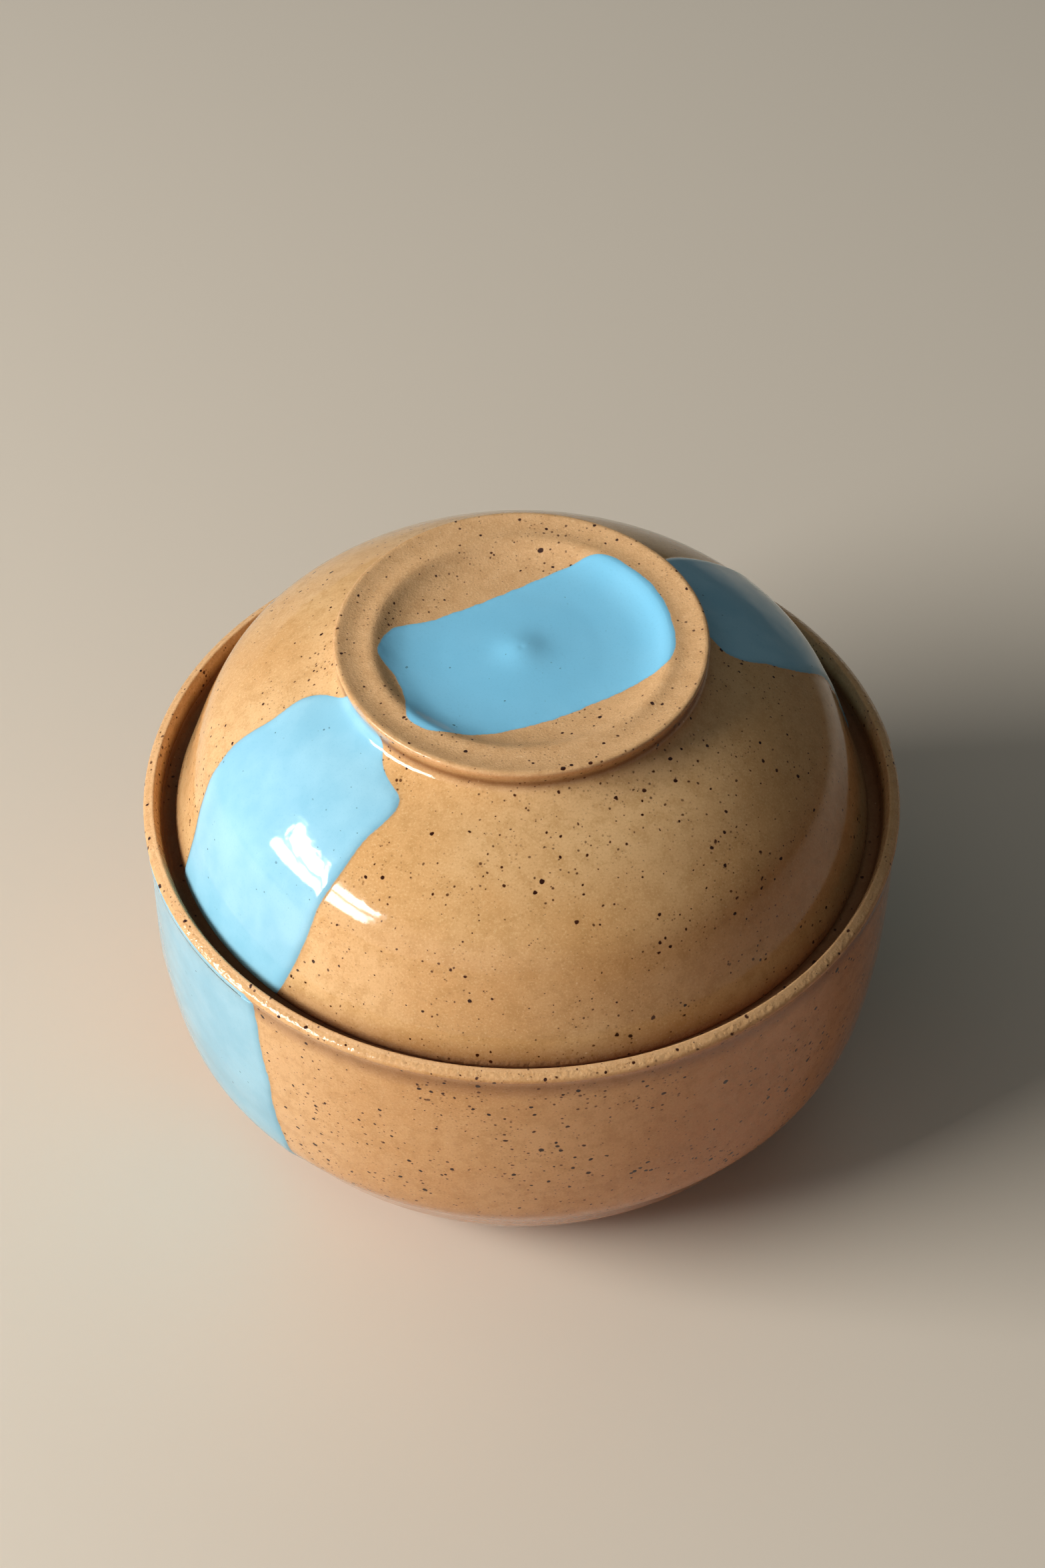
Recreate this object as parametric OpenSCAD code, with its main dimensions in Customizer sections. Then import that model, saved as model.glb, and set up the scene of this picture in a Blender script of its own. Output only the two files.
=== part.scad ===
// Lidded stoneware bowl: an open bowl with a foot ring and a seat inside its rim, and a domed lid
// whose trimmed foot ring is its handle. All sizes are in millimetres. +Z is up, the table is z = 0.

/* [Bowl] */
// outside diameter of the rim
rim_d = 170; // [150:1:190]
// height of the rim's outer edge above the table
bowl_h = 84; // [76:1:92]
// thickness of the wall
wall = 5; // [4:0.5:6]
// thickness of the floor inside the foot ring
floor_t = 7; // [5:0.5:9]

/* [Rim] */
// radial width of the bare, sloped rim face
rim_face_w = 2.5; // [2:0.1:3.2]
// rise of the rim face from its outer edge to its inner edge
rim_face_rise = 1.5; // [0.5:0.1:2.5]
// how far the lip stands out past the wall below it
lip_out = 0.8; // [0.4:0.1:1.6]
// height over which the lip flares out
lip_h = 8; // [6:0.5:11]

/* [Lid seat] */
// depth of the seat below the rim's outer edge
seat_drop = 5; // [4:0.5:7]
// radial width of the seat
seat_w = 8.4; // [7:0.2:10]
// how much the wall above the seat leans out
seat_wall_lean = 1.9; // [1.2:0.1:2.5]
// thickness of the seat's inner edge
seat_t = 3; // [2:0.5:4]
// height of the slope that carries the seat
seat_slope_h = 8; // [6:0.5:12]

/* [Bowl foot] */
// outside diameter of the foot ring
foot_d = 108; // [96:1:116]
// radial width of the foot ring
foot_w = 7; // [5:0.5:9]
// height of the foot ring
foot_h = 5; // [4:0.5:7]
// bevel on the foot ring's edges
foot_bevel = 0.8; // [0.4:0.1:1.2]

/* [Lid] */
// gap between the lid's edge and the wall round the seat
lid_gap = 2.7; // [1.5:0.1:4]
// height of the lid from the seat to the top of its ring
lid_h = 51.7; // [46:0.1:58]
// thickness of the lid's wall
lid_wall = 4.6; // [3.6:0.2:5.6]
// radial width of the flat face that the lid rests on
lid_rest_w = 4.3; // [3.4:0.1:5.2]
// rounding of the lid's lower edge
lid_edge_r = 0.9; // [0.5:0.1:1.2]
// height of the widest part of the lid above the seat
lid_edge_h = 1.6; // [1.2:0.1:2.2]

/* [Lid ring] */
// outside diameter of the ring that is the lid's handle
ring_d = 81.8; // [72:0.2:90]
// height of the ring above the dome
ring_h = 6.2; // [5:0.2:8]
// how far the neck is cut in under the ring's edge
neck_in = 1.4; // [0.8:0.1:2]
// rounding of the ring's top edge
ring_edge_r = 0.6; // [0.3:0.1:0.9]
// depth of the shallow channel in the ring's top
channel_depth = 0.95; // [0.4:0.05:1.3]
// depth of the dish inside the ring
dish_depth = 4.1; // [2.5:0.1:5]
// diameter of the dish
dish_d = 64.4; // [58:0.2:70]
// height of the low mound in the middle of the dish
mound_h = 1.25; // [0.5:0.05:2]
// thickness of the lid under the dish
crown_t = 5.5; // [4:0.5:7]

/* [Hidden] */
$fn = 144;

// points per span of a smooth outline
span_steps = 3;

// radii and heights that follow from the sizes above
rim_r = rim_d / 2;
wall_r = rim_r - lip_out;
rim_top = bowl_h + rim_face_rise;
seat_wall_top_r = rim_r - rim_face_w;
seat_out_r = seat_wall_top_r - seat_wall_lean;
seat_in_r = seat_out_r - seat_w;
seat_z = bowl_h - seat_drop;
foot_r = foot_d / 2;
foot_in_r = foot_r - foot_w;
floor_z = foot_h + floor_t;
wall_in_r = wall_r - wall;

lid_r = seat_out_r - lid_gap;
lid_top = seat_z + lid_h;
dome_h = lid_h - ring_h;
ring_r = ring_d / 2;
dish_r = dish_d / 2;
dish_floor = lid_top - dish_depth;
crown_z = dish_floor - crown_t;

// belly of the bowl from the foot ring up: shares of the wall's radius and of the bowl's height
belly_shares = [
    [0.712, 0.086], [0.79, 0.122], [0.848, 0.19], [0.891, 0.262], [0.93, 0.327], [0.956, 0.37],
    [0.9685, 0.412], [0.9745, 0.452], [0.984, 0.524], [0.992, 0.6], [0.997, 0.72], [0.9995, 0.83]
];
// flare of the lip: shares of its overhang and of its height
lip_shares = [[0, 0], [0.06, 0.35], [0.24, 0.65], [0.55, 0.88], [1, 1]];
// wall round the seat from the top down: shares of its lean and of its height
seat_wall_shares = [[1, 1], [0.5, 0.7], [0.22, 0.35], [0, 0.1]];
// dome of the lid from its edge up: shares of the lid's radius and of the dome's height
dome_shares = [
    [1, 0.035], [0.979, 0.143], [0.955, 0.264], [0.927, 0.402], [0.906, 0.486], [0.89, 0.549],
    [0.867, 0.6], [0.841, 0.648], [0.805, 0.701], [0.737, 0.793], [0.655, 0.88], [0.578, 0.941]
];
// neck and ring edge from the dome up: shares of the undercut and of the ring's height
neck_shares = [[-1.2, -0.16], [0.3, -0.02], [0.95, 0.16], [0.95, 0.4], [0.5, 0.66], [0.05, 0.84]];
// channel in the ring's top: shares of the way from the ring's edge to the dish, and of its depth
channel_shares = [[0.25, 0.55], [0.6, 1], [0.85, 0.8], [1, 0.82]];
// dish: shares of its radius and of the way down from the channel's edge to its floor
dish_shares = [[0.965, 0.18], [0.9, 0.52], [0.79, 0.83], [0.62, 0.98], [0.42, 1]];
// mound in the middle of the dish: shares of the dish's radius and of the mound's height
mound_shares = [[0.25, 0.45], [0.12, 0.85], [0, 1]];
// underside of the lid's crown: shares of its edge's radius and of the rise to its middle
crown_shares = [[0.62, 0.75], [0.3, 0.96], [0, 1]];

// A smooth curve through points, each span cut into n steps
function smooth_at(a, b, c, d, t) =
    (2 * b + (c - a) * t + (2 * a - 5 * b + 4 * c - d) * t * t
     + (3 * b - a - 3 * c + d) * t * t * t) / 2;
function smooth(p, n) = [
    for (i = [0 : len(p) - 2]) for (k = [0 : n - 1])
        smooth_at(p[max(i - 1, 0)], p[i], p[i + 1], p[min(i + 2, len(p) - 1)], k / n),
    p[len(p) - 1]
];
function reversed(p) = [for (i = [len(p) - 1 : -1 : 0]) p[i]];
// the same curve moved sideways by t, to the left of its direction
function direction(p, i) = p[min(i + 1, len(p) - 1)] - p[max(i - 1, 0)];
function shifted(p, t) = [
    for (i = [0 : len(p) - 1])
        let (d = direction(p, i)) p[i] + [-d[1], d[0]] * t / norm(d)
];

// outside of the bowl from the foot ring to the rim's outer edge
belly = smooth(concat(
    [[foot_r, foot_h]],
    [for (s = belly_shares) [s[0] * wall_r, s[1] * bowl_h]],
    [[wall_r, bowl_h - lip_h]]), span_steps);
lip = smooth([for (s = lip_shares)
    [wall_r + s[0] * lip_out, bowl_h - lip_h + s[1] * lip_h]], span_steps);

// inside of the bowl: the belly moved in by the wall, between the floor and the seat's slope
slope_foot_z = seat_z - seat_t - seat_slope_h;
inner_wall = [for (p = shifted(belly, wall)) if (p[1] > floor_z && p[1] < slope_foot_z) p];

// wall round the seat
seat_wall = smooth([for (s = seat_wall_shares)
    [seat_out_r + s[0] * seat_wall_lean, seat_z + s[1] * (rim_top - seat_z)]], span_steps);
seat_corner = [seat_out_r - (seat_wall_top_r - seat_out_r) / 4, seat_z];
seat_round = seat_t / 4;

module bowl_section() {
    polygon(concat(
        [[0, foot_h], [foot_in_r - foot_bevel, foot_h], [foot_in_r, foot_h - foot_bevel],
         [foot_in_r, foot_bevel], [foot_in_r + foot_bevel, 0], [foot_r - foot_bevel, 0],
         [foot_r, foot_bevel]],
        belly,
        lip,
        seat_wall,
        [seat_corner, [seat_in_r + seat_round, seat_z], [seat_in_r, seat_z - seat_round],
         [seat_in_r, seat_z - seat_t], [wall_in_r, slope_foot_z]],
        reversed(inner_wall),
        [[foot_r, floor_z], [0, floor_z]]
    ));
}

// outside of the lid from its edge up to the neck
dome = smooth([for (s = dome_shares) [s[0] * lid_r, seat_z + s[1] * dome_h]], span_steps);
neck = smooth([for (s = neck_shares)
    [ring_r - s[0] * neck_in, seat_z + dome_h + s[1] * ring_h]], span_steps);

// top of the ring, dish and mound
channel = [for (s = channel_shares)
    [ring_r - ring_edge_r + s[0] * (dish_r - ring_r + ring_edge_r), lid_top - s[1] * channel_depth]];
dish_edge = channel[len(channel) - 1];
ring_top = smooth(concat(
    [[ring_r - ring_edge_r, lid_top]],
    channel,
    [for (s = dish_shares)
        [s[0] * dish_r, dish_edge[1] + s[1] * (dish_floor - dish_edge[1])]],
    [for (s = mound_shares) [s[0] * dish_r, dish_floor + s[1] * mound_h]]), span_steps);

// inside of the lid: the dome moved in by its wall, then the crown
dome_in = shifted(dome, lid_wall);
rest_in_r = lid_r - lid_edge_r - lid_rest_w;
lid_inner = [for (p = dome_in) if (p[0] < rest_in_r) p];
crown_edge = lid_inner[len(lid_inner) - 1];
crown = smooth(concat([crown_edge], [for (s = crown_shares)
    [s[0] * crown_edge[0], crown_edge[1] + s[1] * (crown_z - crown_edge[1])]]), span_steps);

module lid_section() {
    polygon(concat(
        [[rest_in_r, seat_z], [lid_r - lid_edge_r, seat_z],
         [lid_r - lid_edge_r / 4, seat_z + lid_edge_h / 3]],
        dome,
        neck,
        [[ring_r, lid_top - ring_edge_r]],
        ring_top,
        reversed(crown),
        reversed(lid_inner)
    ));
}

module bowl() {
    color("burlywood") rotate_extrude() bowl_section();
}

module lid() {
    color("tan") rotate_extrude() lid_section();
}

bowl();
lid();
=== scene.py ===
import math

import bpy
import numpy as np
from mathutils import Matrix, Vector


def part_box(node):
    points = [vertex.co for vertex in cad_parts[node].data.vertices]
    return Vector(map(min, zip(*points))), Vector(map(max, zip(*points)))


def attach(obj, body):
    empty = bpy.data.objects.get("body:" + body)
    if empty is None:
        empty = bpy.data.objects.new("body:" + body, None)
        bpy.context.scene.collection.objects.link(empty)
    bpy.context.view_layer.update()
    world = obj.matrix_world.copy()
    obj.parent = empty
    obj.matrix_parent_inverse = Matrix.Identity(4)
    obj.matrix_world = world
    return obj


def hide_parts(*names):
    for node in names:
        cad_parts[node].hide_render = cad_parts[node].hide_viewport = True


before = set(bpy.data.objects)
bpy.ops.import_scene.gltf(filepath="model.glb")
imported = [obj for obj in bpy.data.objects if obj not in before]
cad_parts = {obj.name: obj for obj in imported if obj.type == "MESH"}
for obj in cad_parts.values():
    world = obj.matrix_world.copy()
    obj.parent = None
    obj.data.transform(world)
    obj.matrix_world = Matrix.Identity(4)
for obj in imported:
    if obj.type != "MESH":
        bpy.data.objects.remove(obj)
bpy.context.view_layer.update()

# Lidded stoneware bowl. Lengths are written in millimetres and turned into metres where a mesh,
# a lamp or a node needs them. +Z is up, the table is z = 0 and -Y faces the camera.

# Camera: it stands where the photograph was taken from, 46 degrees above the bowl's front, and has
# an 85 mm lens whose 36 mm side is the picture's height.
MM = 0.001
CAMERA_PLACE = (0.2 * MM, -573.2 * MM, 685.9 * MM)
CAMERA_TILT = 43.65
LENS, PICTURE_SIDE = 85, 36
NEAR_LIMIT, FAR_LIMIT = 0.01, 100

camera_data = bpy.data.cameras.new("camera")
camera_data.lens = LENS
camera_data.sensor_fit = "VERTICAL"
camera_data.sensor_width = camera_data.sensor_height = PICTURE_SIDE
camera_data.clip_start, camera_data.clip_end = NEAR_LIMIT, FAR_LIMIT
camera = bpy.data.objects.new("camera", camera_data)
camera.location = CAMERA_PLACE
camera.rotation_euler = (math.radians(CAMERA_TILT), 0, 0)
bpy.context.scene.collection.objects.link(camera)
bpy.context.scene.camera = camera

# Bowl: one wall of speckled buff stoneware, thrown on the wheel, with a turned foot ring, a lip that
# flares out and a seat for the lid inside it. Clear gloss glaze, blue glaze poured over two sides,
# and bare clay on the rim face, the seat and the foot.
rim_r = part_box("bowl")[1].x / MM
rim_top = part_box("bowl")[1].z / MM
bowl_h = 84.0
wall = 5.0
rim_face_w = 2.5
lip_out, lip_h = 0.8, 8.0
seat_z, seat_w, seat_lean, seat_t = 79.0, 8.4, 1.9, 3.0
seat_slope_h = 8.0
foot_r, foot_w, foot_h, foot_bevel = 54.0, 7.0, 5.0, 0.8
floor_z = 12.0
wall_r = rim_r - lip_out
foot_in_r = foot_r - foot_w
seat_out_r = rim_r - rim_face_w - seat_lean
seat_in_r = seat_out_r - seat_w

# Softened edges: how far the belly's curve is eased, and how much each corner is cut back to a curve.
# The rim's curve is cut from a corner a little outside the rim, so that it still comes out to it.
belly_ease = 2.0
rim_round, rim_corner_out, rim_inner_round = 1.5, 0.27, 0.5
rim_round_rows = 9
seat_out_round, seat_in_round, slope_round, floor_round = 0.7, 0.75, 1.2, 3.5

belly_shares = [
    (0.712, 0.086), (0.79, 0.122), (0.848, 0.19), (0.891, 0.262), (0.93, 0.327), (0.956, 0.37),
    (0.9685, 0.412), (0.9745, 0.452), (0.984, 0.524), (0.992, 0.6), (0.997, 0.72), (0.9995, 0.83)]
lip_shares = [(0, 0), (0.06, 0.35), (0.24, 0.65), (0.55, 0.88), (1, 1)]
seat_wall_shares = [(1, 1), (0.5, 0.7), (0.22, 0.35), (0, 0.1)]
foot_side_shares = (0.48, 0.8)
recess_radii = (0, 12, 26, 38, 45)
floor_radii = (44, 36, 28, 20, 13, 7, 3, 0)


def smooth_line(points, closed=False, steps=12):
    """A Catmull-Rom curve: each span is the cubic that leaves and meets its two ends along half the
    chord between their neighbours, cut into equal steps of its parameter."""
    p = np.asarray(points, float)
    p = np.vstack([p[-1:], p, p[:2]]) if closed else np.vstack([p[:1], p, p[-1:]])
    a, b, c, d = (p[k:len(p) - 3 + k, None] for k in range(4))
    t = (np.arange(steps) / steps)[None, :, None]
    curve = (2 * b + (c - a) * t + (2 * a - 5 * b + 4 * c - d) * t ** 2
             + (3 * b - a - 3 * c + d) * t ** 3) / 2
    curve = curve.reshape(-1, 2)
    return curve if closed else np.vstack([curve, p[-1:]])


def scaled(shares, start, size):
    """Points at start plus each share of size, in radius and height."""
    return [(start[0] + u * size[0], start[1] + v * size[1]) for u, v in shares]


def bend(a, b, c, cut, steps=5):
    """A rounded corner at b: the quadratic curve from b moved by cut towards a, to b moved by cut
    towards c, with b as its control point."""
    a, b, c = (np.asarray(q, float) for q in (a, b, c))
    s = b + (a - b) * cut / np.hypot(*(a - b))
    e = b + (c - b) * cut / np.hypot(*(c - b))
    t = np.linspace(0, 1, steps)[:, None]
    return s * (1 - t) ** 2 + 2 * b * t * (1 - t) + e * t ** 2


def length_along(line):
    """Distance run along a line of points, starting at 0."""
    return np.r_[0, np.cumsum(np.hypot(*np.diff(line, axis=0).T))]


def spaced(line, rows, crowd=0.0):
    """rows points at equal distances along a line. With crowd above 0 they gather at its end: the
    share s of the way becomes s + crowd * s * (1 - s)."""
    run = length_along(np.asarray(line, float))
    s = np.linspace(0, 1, rows)
    at = (s + crowd * s * (1 - s)) * run[-1]
    return np.c_[np.interp(at, run, line[:, 0]), np.interp(at, run, line[:, 1])]


def eased(line, reach, fine=0.2):
    """The same line with its small kinks eased: each point becomes the mean of its neighbours, weighted
    by a bell curve of their distance over reach. Past each end the line goes on as its own image
    turned about that end, so the ends stay. The points come out fine millimetres apart."""
    even = spaced(line, int(length_along(line)[-1] / fine) + 1)
    k = int(3 * reach / fine)
    longer = np.vstack([2 * even[0] - even[k:0:-1], even, 2 * even[-1] - even[-2:-k - 2:-1]])
    bell = np.exp(-0.5 * (np.arange(-k, k + 1) * fine / reach) ** 2)
    summed = np.c_[np.convolve(longer[:, 0], bell, "valid"), np.convolve(longer[:, 1], bell, "valid")]
    return summed / bell.sum()


def inside_of(line, thickness):
    """The same line moved to its left by a wall's thickness, along the normal of the chord between
    each point's neighbours."""
    step = np.gradient(line, axis=0)
    return line + np.c_[-step[:, 1], step[:, 0]] * thickness / np.hypot(*step.T)[:, None]


def turned_profile(*spans):
    """Joins named spans (name, points, columns) into one profile. Gives its points, how many columns
    each row has round the axis, and where each span's rows are. A point that repeats the last is
    left out."""
    line, columns, rows = [], [], {}
    for name, points, count in spans:
        points = np.asarray(points, float)
        if line and np.hypot(*(points[0] - line[-1])) < 1e-6:
            points = points[1:]
        rows[name] = slice(len(line), len(line) + len(points))
        line += list(points)
        columns += [count] * len(points)
    columns = np.array(columns)
    line = np.array(line)
    columns[[0, -1]] = 1
    return line, columns, rows


def turned_grid(line, columns):
    """For every vertex of a turned surface: its row, its angle, and the profile's outward normal there,
    which is the direction between the neighbouring rows turned clockwise by a quarter."""
    row = np.repeat(np.arange(len(line)), columns)
    first = np.concatenate([[0], np.cumsum(columns)[:-1]])
    angle = 2 * np.pi * (np.arange(len(row)) - first[row]) / columns[row]
    step = np.gradient(line, axis=0)
    normal = np.c_[step[:, 1], -step[:, 0]] / np.hypot(*step.T)[:, None]
    normal[columns == 1] = [[0, -1], [0, 1]]
    return row, angle, normal[row]


def turned_mesh(name, line, columns, lift, **marks):
    """A closed surface of revolution. A vertex is its row's (radius, height) moved by lift along the
    profile's normal and turned to its angle. Rows of equal columns are joined by squares, rows where
    the count halves or doubles by triangles, and the two poles by fans."""
    row, angle, normal = turned_grid(line, columns)
    radius = line[row, 0] + lift * normal[:, 0]
    height = line[row, 1] + lift * normal[:, 1]
    radius[columns[row] == 1] = 0
    place = np.c_[radius * np.cos(angle), radius * np.sin(angle), height] * MM
    first = np.concatenate([[0], np.cumsum(columns)[:-1]])
    squares, corners = [], []
    for i in range(len(columns) - 1):
        n, m = columns[i], columns[i + 1]
        low, high = first[i] + np.arange(n), first[i + 1] + np.arange(m)
        low_next, high_next = np.roll(low, -1), np.roll(high, -1)
        if n == m:
            squares.append(np.c_[low, low_next, high_next, high])
        elif n == 1:
            corners.append(np.c_[np.repeat(low, m), high_next, high])
        elif m == 1:
            corners.append(np.c_[low, low_next, np.repeat(high, n)])
        elif n > m:
            even, odd, after = low[0::2], low[1::2], np.roll(low[0::2], -1)
            corners += [np.c_[even, odd, high], np.c_[odd, high_next, high], np.c_[odd, after, high_next]]
        else:
            even, odd, after = high[0::2], high[1::2], np.roll(high[0::2], -1)
            corners += [np.c_[low, odd, even], np.c_[low, low_next, odd], np.c_[low_next, after, odd]]
    mesh = bpy.data.meshes.new(name)
    mesh.from_pydata(place.tolist(), [], np.vstack(squares).tolist() + np.vstack(corners).tolist())
    mesh.polygons.foreach_set("use_smooth", np.ones(len(mesh.polygons), bool))
    for mark, values in marks.items():
        mesh.attributes.new(mark, "FLOAT", "POINT").data.foreach_set("value", values.astype(np.float32))
    mesh.validate()
    piece = bpy.data.objects.new(name, mesh)
    bpy.context.scene.collection.objects.link(piece)
    return piece


def degrees_round(angle):
    """An angle from +X in degrees, from -180 to 180."""
    return np.degrees((angle + np.pi) % (2 * np.pi) - np.pi)


def depth_inside(points, outline):
    """How deep each point lies inside a closed outline, in millimetres, negative outside: the least
    distance to its edges, with the sign of an even or odd count of crossings to its right."""
    a, b = outline, np.roll(outline, -1, axis=0)
    least = np.full(len(points), np.inf)
    inside = np.zeros(len(points), bool)
    for p, q in zip(a, b):
        along = np.clip(((points - p) @ (q - p)) / max((q - p) @ (q - p), 1e-12), 0, 1)
        least = np.minimum(least, np.hypot(*(points - p - along[:, None] * (q - p)).T))
        crosses = (p[1] > points[:, 1]) != (q[1] > points[:, 1])
        if crosses.any():
            reach = p[0] + (points[:, 1] - p[1]) * (q[0] - p[0]) / (q[1] - p[1] + 1e-12)
            inside ^= crosses & (points[:, 0] < reach)
    return np.where(inside, least, -least)


def band_between(run, first, last):
    """How deep each place lies inside a band that goes all round, from first to last along the
    profile, in millimetres, negative outside: the lesser distance to its two edges."""
    return np.minimum(run - first, last - run)


def fade_in(value, low, high):
    """0 below low, 1 above high and even between. With high below low it falls instead."""
    return np.clip((value - low) / (high - low), 0, 1)


def rolled_edge(depth, thickness, width):
    """Height of a poured glaze: a quarter round that rises over width from its edge, with a slight
    bead behind it where the glaze drew back before it set."""
    share = np.clip(depth / width, 0, 1)
    bead = np.exp(-((depth - 1.1 * width) / (0.7 * width)) ** 2)
    return thickness * (np.sqrt(1 - (1 - share) ** 2) + 0.12 * bead * share)


def thrown(run, angle, size, pitch=5.6):
    """Unevenness left by the hand, in millimetres: one spiral of throwing rings, whose depth comes and
    goes round the wall, and two slow waves."""
    rings = np.sin(2 * np.pi * run / pitch + angle) * (0.6 + 0.4 * np.sin(2 * angle + run / 17))
    slow = np.sin(3 * angle + run / 21) + 0.7 * np.sin(5 * angle - run / 13 + 1)
    return size * (rings + 0.6 * slow)


def wavering(angle, run, size):
    """Small wander of a glaze's edge, in millimetres: three sines of place on the wall."""
    return size * (np.sin(9 * angle + run / 3.1) + 0.7 * np.sin(23 * angle - run / 2.3 + 2)
                   + 0.5 * np.sin(41 * angle + run / 1.7 + 4)) / 2.2


# Columns round the axis: most where the outside shows, fewest on the hidden sides of the walls.
FINE, MEDIUM, COARSE = 912, 456, 228
belly = smooth_line([(foot_r, foot_h), *scaled(belly_shares, (0, 0), (wall_r, bowl_h)),
                     (wall_r, bowl_h - lip_h)])
lip = smooth_line(scaled(lip_shares, (wall_r, bowl_h - lip_h), (lip_out, lip_h)))
rim_corner, rim_out = (rim_r + rim_corner_out, bowl_h), (rim_r, bowl_h)
rim_in = (rim_r - rim_face_w, rim_top)
seat_wall = smooth_line(scaled(seat_wall_shares, (seat_out_r, seat_z), (seat_lean, rim_top - seat_z)))
seat_corner, seat_edge = (seat_out_r - seat_lean / 4, seat_z), (seat_in_r, seat_z)
slope_top = (seat_in_r, seat_z - seat_t)
slope_foot = (wall_r - wall, slope_top[1] - seat_slope_h)
inner = inside_of(belly, wall)
inner = inner[(inner[:, 1] > floor_z + 1) & (inner[:, 1] < slope_foot[1])][::-1]
floor_turn = (foot_r, floor_z)

# The rim's two curves take the place of the last points of the lip and the first of the seat's wall.
lip_kept, rim_face_end, seat_wall_kept = lip[:-15], seat_wall[8], seat_wall[10:-1]
inner_kept = inner[3:]
seat_row = (seat_in_r + 4, seat_z)
slope_row = (slope_top[0] + 3.4, slope_top[1] - seat_slope_h / 2)

bowl_line, bowl_columns, bowl_rows = turned_profile(
    ("recess", [(r, foot_h) for r in recess_radii], COARSE),
    ("foot_inside", np.vstack([
        bend((0, foot_h), (foot_in_r, foot_h), (foot_in_r, 0), foot_bevel),
        bend((foot_in_r, foot_h), (foot_in_r, 0), (foot_r, 0), foot_bevel)]), COARSE),
    ("foot_outside", np.vstack([
        bend((foot_in_r, 0), (foot_r, 0), (foot_r, foot_h), foot_bevel),
        [(foot_r, share * foot_h) for share in foot_side_shares]]), MEDIUM),
    ("belly", spaced(eased(belly, belly_ease), 52), FINE),
    ("lip", spaced(lip_kept, 9, 0.3), FINE),
    ("rim", np.vstack([
        bend(lip_kept[-1], rim_corner, rim_in, rim_round, rim_round_rows),
        bend(rim_out, rim_in, rim_face_end, rim_inner_round)]), FINE),
    ("seat_wall", spaced(seat_wall_kept, 6), MEDIUM),
    ("seat", np.vstack([
        bend(seat_wall[-1], seat_corner, seat_edge, seat_out_round, 4), [seat_row],
        bend(seat_corner, seat_edge, slope_top, seat_in_round, 4)]), MEDIUM),
    ("slope", [slope_top, slope_row], COARSE),
    ("inner", np.vstack([
        bend(slope_top, slope_foot, inner_kept[0], slope_round, 4), spaced(inner_kept, 26)]), COARSE),
    ("floor", np.vstack([
        bend(inner[-1], floor_turn, (0, floor_z), floor_round),
        [(r, floor_z) for r in floor_radii]]), COARSE))

row, angle, normal = turned_grid(bowl_line, bowl_columns)
run = length_along(bowl_line)
bowl_run = run[row]
radius = bowl_line[row, 0]
rim_row = bowl_rows["rim"].start + rim_round_rows // 2
down = run[rim_row] - bowl_run
azimuth = degrees_round(angle)
outside = row <= rim_row

# The blue stripe runs over both pieces at 28 degrees from +X, so it shows on two sides of the wall.
# Each outline is (millimetres down from the rim, degrees round from +X), laid flat as on a cylinder.
bowl_left_blue = [
    (-1, -165), (-1, -158), (-1, -149), (-1, -140), (0.5, -133), (6, -132.6), (15, -132), (26, -131),
    (38, -130.6), (50, -129.6), (62, -130), (70, -132.5), (74, -138), (75.5, -147), (74, -157),
    (69, -164), (58, -167.5), (44, -168), (28, -167), (12, -165.6)]
bowl_right_blue = [
    (-1, 10), (-1, 22), (-1, 34), (0, 46), (10, 46.5), (24, 46), (40, 47), (54, 47.5), (65, 45),
    (71, 38), (73, 29), (71.5, 19), (66, 11), (54, 7.5), (38, 8), (22, 8.6), (8, 9)]
bowl_blue_t, blue_edge_w, bowl_blue_wander = 0.42, 1.7, 0.3
FAR_OUTSIDE = -50.0


def on_cylinder(drop, degrees, radius):
    """Flattens places on a wall: across is the arc at that radius, down stays down."""
    return np.c_[np.radians(degrees) * radius, drop]


bowl_blue = np.full(len(row), FAR_OUTSIDE)
flat = on_cylinder(down[outside], azimuth[outside], wall_r)
for outline in (bowl_left_blue, bowl_right_blue):
    outline = smooth_line(on_cylinder(*np.array(outline).T, wall_r), closed=True, steps=5)
    bowl_blue[outside] = np.maximum(bowl_blue[outside], depth_inside(flat, outline))
bowl_blue += wavering(angle, down, bowl_blue_wander)

# Bare clay: how deep each place is inside the bare bands of the rim face, the seat and the foot
# ring. Each pair is how far inside its band's ends the two glaze lines stand.
rim_glaze_lines, seat_glaze_lines, foot_glaze_lines = (0.6, 0.1), (-1.5, 0.6), (2.5, 0.4)
bowl_bare_wander = 0.14
rim_round_end = bowl_rows["rim"].start + rim_round_rows - 1
bowl_bare = np.maximum.reduce([
    band_between(bowl_run, run[first] + glaze_lines[0], run[last] - glaze_lines[1])
    for first, last, glaze_lines in (
        (rim_round_end, bowl_rows["rim"].stop - 1, rim_glaze_lines),
        (bowl_rows["seat"].start, bowl_rows["seat"].stop - 1, seat_glaze_lines),
        (bowl_rows["foot_inside"].start, bowl_rows["foot_outside"].stop - 1, foot_glaze_lines))])
bowl_bare += wavering(angle, bowl_run, bowl_bare_wander)

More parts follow.
